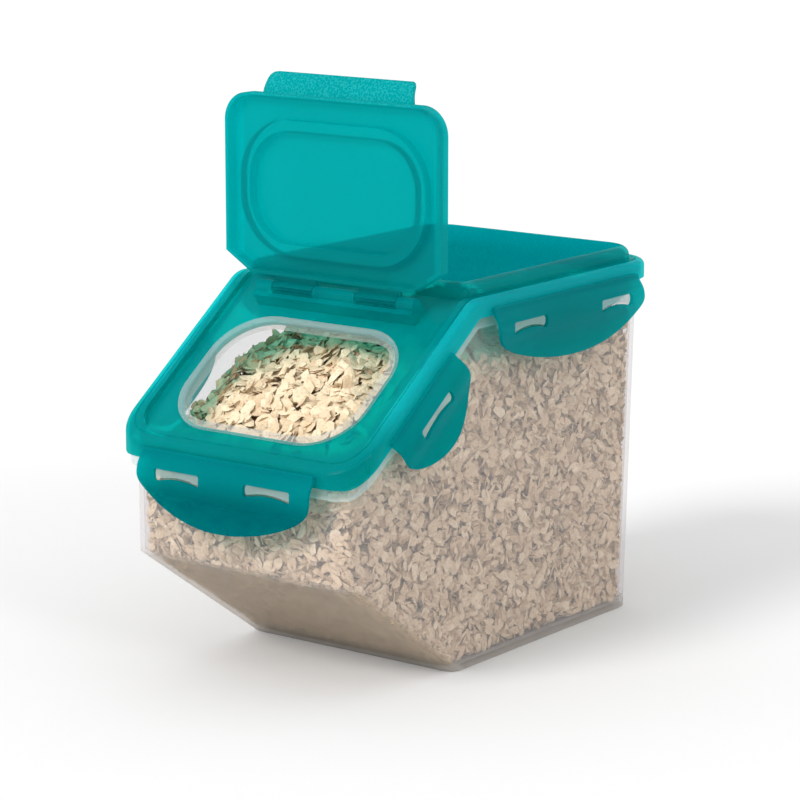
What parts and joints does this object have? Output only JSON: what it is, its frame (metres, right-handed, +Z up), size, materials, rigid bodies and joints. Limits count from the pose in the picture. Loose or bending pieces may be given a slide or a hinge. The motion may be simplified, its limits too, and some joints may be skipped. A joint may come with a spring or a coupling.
{
  "type": "food storage canister",
  "caption": "Flip-top dry food canister: a clear tub with a sloping front, a tinted lid held by latches on every side, and a hinged pour door standing open.",
  "frame": {"origin": "centre of the tub's flat base, on the surface it stands on", "axes": "+Z up; -Y towards the sloping pour front; +X along the pour door's hinge, to the viewer's right when facing the pour front"},
  "size_m": [0.1728, 0.2918, 0.3027],
  "materials": {
    "tub": "clear plastic with a light frosting",
    "lid": "translucent teal plastic, stippled on the rear panel",
    "door": "translucent teal plastic",
    "latch": "translucent teal plastic",
    "seal": "frosted white silicone"
  },
  "bodies": {
    "canister": {"tub": "tub", "lid": "lid", "lid_gasket": "seal", "pour_seal": "seal"},
    "pour_door": {"pour_door": "door"},
    "front_latch": {"front_latch": "latch"},
    "rear_latch": {"rear_latch": "latch"},
    "left_front_latch": {"left_front_latch": "latch"},
    "right_front_latch": {"right_front_latch": "latch"},
    "left_rear_latch": {"left_rear_latch": "latch"},
    "right_rear_latch": {"right_rear_latch": "latch"}
  },
  "joints": [
    {"name": "pour_door_hinge", "type": "hinge", "parent": "canister", "child": "pour_door", "pos_m": [0, -0.09463, 0.19102], "axis": [1, 0, 0], "range_deg": [0, 126]},
    {"name": "front_latch_hinge", "type": "hinge", "parent": "canister", "child": "front_latch", "pos_m": [0, -0.1832, 0.1194], "axis": [-1, 0, 0], "range_deg": [0, 115]},
    {"name": "rear_latch_hinge", "type": "hinge", "parent": "canister", "child": "rear_latch", "pos_m": [0, 0.0922, 0.1887], "axis": [1, 0, 0], "range_deg": [0, 115]},
    {"name": "right_front_latch_hinge", "type": "hinge", "parent": "canister", "child": "right_front_latch", "pos_m": [0.0804, -0.12915, 0.15296], "axis": [0, -0.809, -0.5878], "range_deg": [0, 115]},
    {"name": "left_front_latch_hinge", "type": "hinge", "parent": "canister", "child": "left_front_latch", "pos_m": [-0.0804, -0.12915, 0.15296], "axis": [0, 0.809, 0.5878], "range_deg": [0, 115]},
    {"name": "right_rear_latch_hinge", "type": "hinge", "parent": "canister", "child": "right_rear_latch", "pos_m": [0.0804, -0.003, 0.1887], "axis": [0, -1, 0], "range_deg": [0, 115]},
    {"name": "left_rear_latch_hinge", "type": "hinge", "parent": "canister", "child": "left_rear_latch", "pos_m": [-0.0804, -0.003, 0.1887], "axis": [0, 1, 0], "range_deg": [0, 115]}
  ]
}
